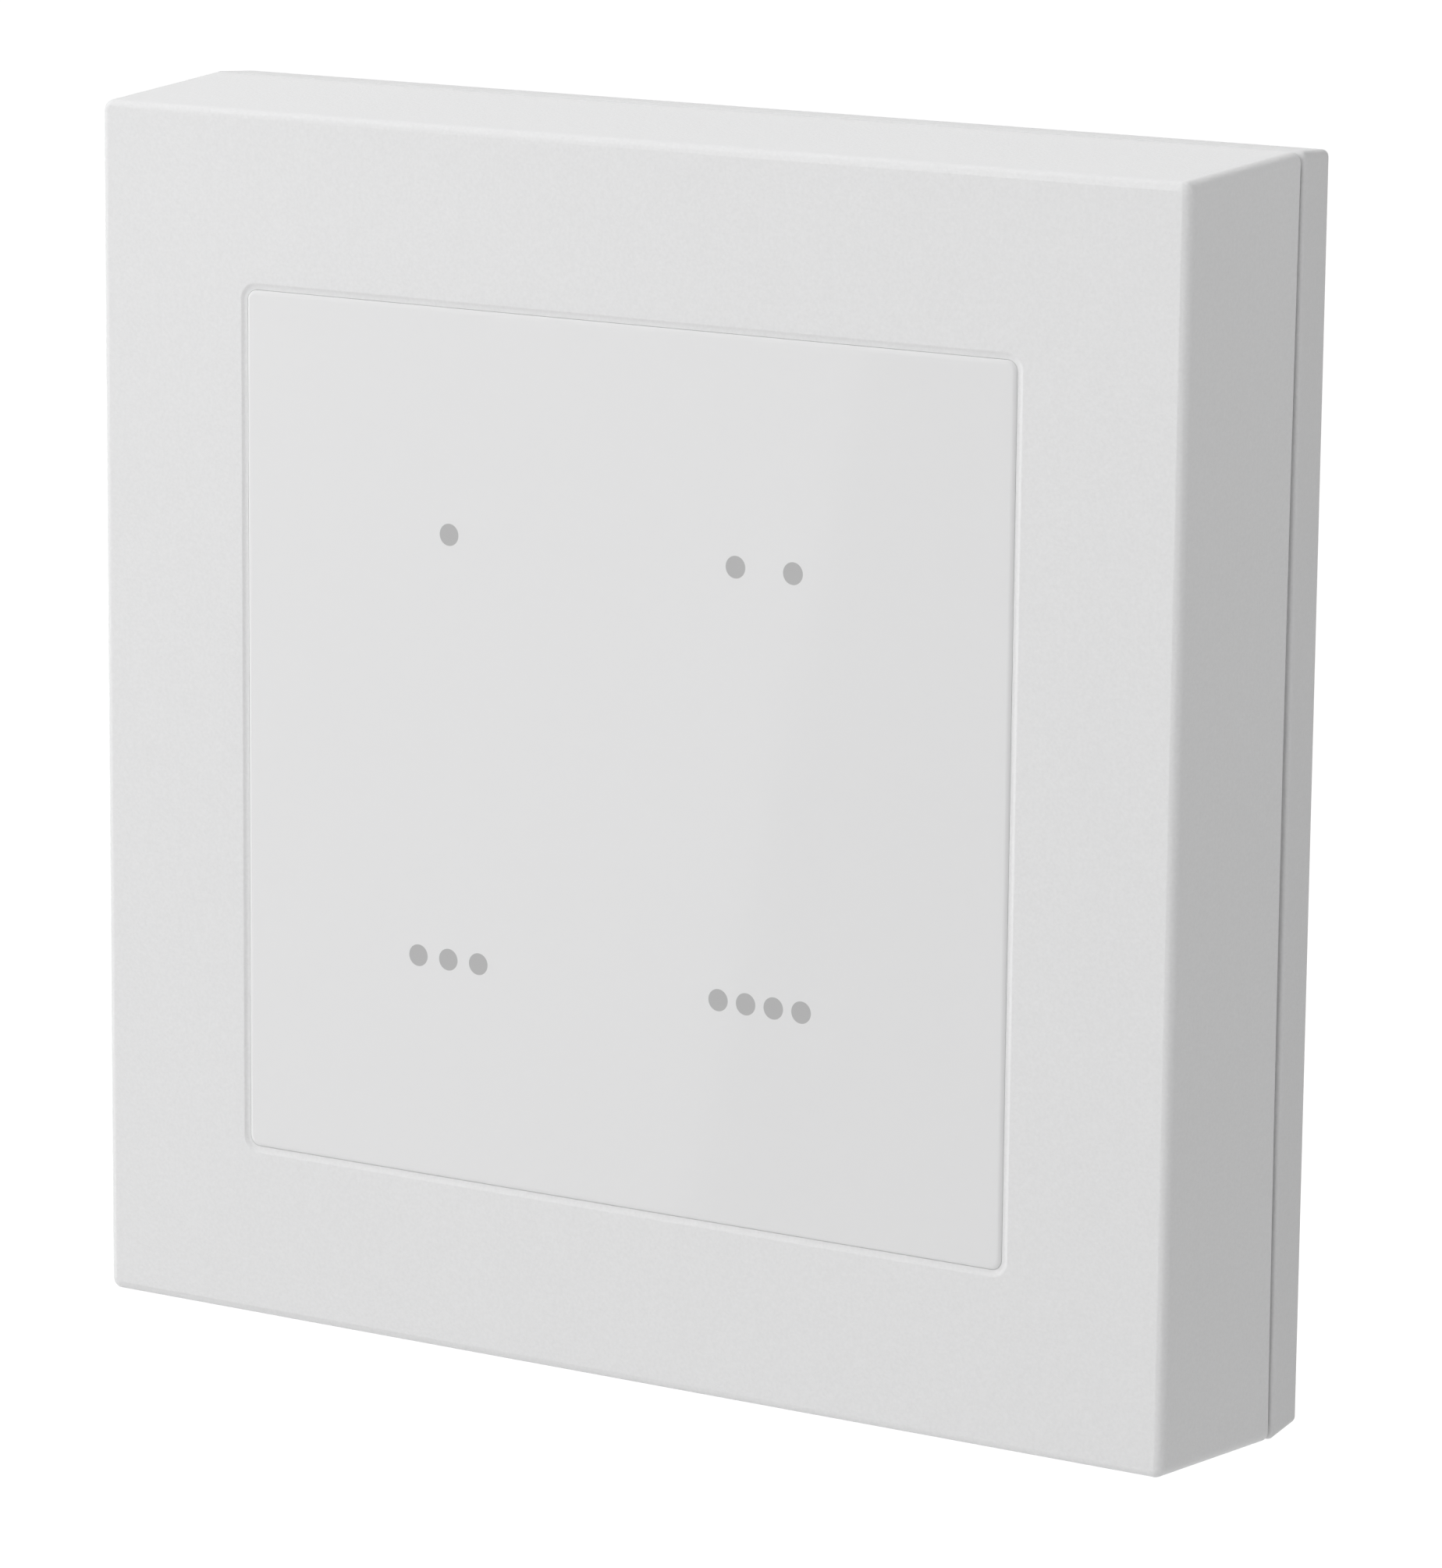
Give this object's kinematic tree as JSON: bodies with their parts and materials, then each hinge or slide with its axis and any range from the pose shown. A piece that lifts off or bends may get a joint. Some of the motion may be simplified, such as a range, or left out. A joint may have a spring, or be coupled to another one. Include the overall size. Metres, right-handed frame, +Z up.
{
  "type": "wireless scene switch",
  "caption": "Square wall-mounted wireless scene switch: a shallow tapered housing with a flush gloss press panel, pull-off front unit, wall plate, hinged keys, tactile switches and a coin cell.",
  "frame": {"origin": "centre of the back face, on the wall plane", "axes": "+X to the right of someone facing the switch, +Z up, +Y into the wall; the front faces -Y"},
  "size_m": [0.08, 0.017, 0.08],
  "materials": {
    "cover_plastic": "fine matt texture",
    "panel_plastic": "high gloss",
    "pip_print": "printed grey",
    "tape": "thin adhesive film",
    "plate_plastic": "fine matt texture",
    "frame_plastic": "satin moulding",
    "key_plastic": "satin moulding",
    "board": "solder mask",
    "module_board": "solder mask",
    "switch_body": "matt",
    "switch_lid": "stamped, tinned",
    "switch_plunger": "satin",
    "shield_can": "tinned",
    "chip_package": "moulded",
    "crystal_can": "satin",
    "capacitor_body": "fired",
    "antenna_metal": "tinned wire",
    "holder_plastic": "moulded",
    "contact_metal": "stamped",
    "cell_can": "drawn, bright",
    "screw_metal": "zinc plated"
  },
  "bodies": {
    "wall_plate": {"wall_plate": "plate_plastic"},
    "front_unit": {"front_cover": "cover_plastic", "front_panel": "panel_plastic", "panel_marks": "pip_print", "panel_tape": "tape", "key_frame": "frame_plastic", "circuit_board": "board", "switch_1_housing": "switch_body", "switch_1_lid": "switch_lid", "switch_2_housing": "switch_body", "switch_2_lid": "switch_lid", "switch_3_housing": "switch_body", "switch_3_lid": "switch_lid", "switch_4_housing": "switch_body", "switch_4_lid": "switch_lid", "pairing_housing": "switch_body", "pairing_lid": "switch_lid", "radio_module": "module_board", "radio_shield": "shield_can", "radio_chip": "chip_package", "antenna_wire": "antenna_metal", "controller_chip": "chip_package", "crystal": "crystal_can", "capacitors": "capacitor_body", "battery_holder": "holder_plastic", "negative_contact": "contact_metal", "positive_contact": "contact_metal", "assembly_screws": "screw_metal"},
    "key_1": {"key_1": "key_plastic"},
    "key_2": {"key_2": "key_plastic"},
    "key_3": {"key_3": "key_plastic"},
    "key_4": {"key_4": "key_plastic"},
    "plunger_1": {"switch_1_plunger": "switch_plunger"},
    "plunger_2": {"switch_2_plunger": "switch_plunger"},
    "plunger_3": {"switch_3_plunger": "switch_plunger"},
    "plunger_4": {"switch_4_plunger": "switch_plunger"},
    "pairing_plunger": {"pairing_plunger": "switch_plunger"},
    "coin_cell": {"coin_cell": "cell_can"}
  },
  "joints": [
    {"name": "unit_release", "type": "slide", "parent": "wall_plate", "child": "front_unit", "axis": [0, -1, 0], "range_m": [0, 0.02]},
    {"name": "key_1_press", "type": "hinge", "parent": "front_unit", "child": "key_1", "pos_m": [-0.0132, -0.0126, 0.0032], "axis": [-1, 0, 0], "range_deg": [0, 1.35], "stiffness_Nm_per_rad": 0.6},
    {"name": "key_2_press", "type": "hinge", "parent": "front_unit", "child": "key_2", "pos_m": [0.0132, -0.0126, 0.0032], "axis": [-1, 0, 0], "range_deg": [0, 1.35], "stiffness_Nm_per_rad": 0.6},
    {"name": "key_3_press", "type": "hinge", "parent": "front_unit", "child": "key_3", "pos_m": [-0.0132, -0.0126, -0.0032], "axis": [1, 0, 0], "range_deg": [0, 1.35], "stiffness_Nm_per_rad": 0.6},
    {"name": "key_4_press", "type": "hinge", "parent": "front_unit", "child": "key_4", "pos_m": [0.0132, -0.0126, -0.0032], "axis": [1, 0, 0], "range_deg": [0, 1.35], "stiffness_Nm_per_rad": 0.6},
    {"name": "switch_1_travel", "type": "slide", "parent": "front_unit", "child": "plunger_1", "axis": [0, 1, 0], "range_m": [0, 0.00027]},
    {"name": "switch_2_travel", "type": "slide", "parent": "front_unit", "child": "plunger_2", "axis": [0, 1, 0], "range_m": [0, 0.00027]},
    {"name": "switch_3_travel", "type": "slide", "parent": "front_unit", "child": "plunger_3", "axis": [0, 1, 0], "range_m": [0, 0.00027]},
    {"name": "switch_4_travel", "type": "slide", "parent": "front_unit", "child": "plunger_4", "axis": [0, 1, 0], "range_m": [0, 0.00027]},
    {"name": "pairing_press", "type": "slide", "parent": "front_unit", "child": "pairing_plunger", "axis": [0, -1, 0], "range_m": [0, 0.00025], "stiffness_N_per_m": 4000},
    {"name": "cell_slide", "type": "slide", "parent": "front_unit", "child": "coin_cell", "axis": [-1, 0, 0], "range_m": [0, 0.024]}
  ],
  "couplings": [
    {"joint": "switch_1_travel", "follows": "key_1_press", "m_per_rad": 0.01045},
    {"joint": "switch_2_travel", "follows": "key_2_press", "m_per_rad": 0.01045},
    {"joint": "switch_3_travel", "follows": "key_3_press", "m_per_rad": 0.01045},
    {"joint": "switch_4_travel", "follows": "key_4_press", "m_per_rad": 0.01045}
  ]
}
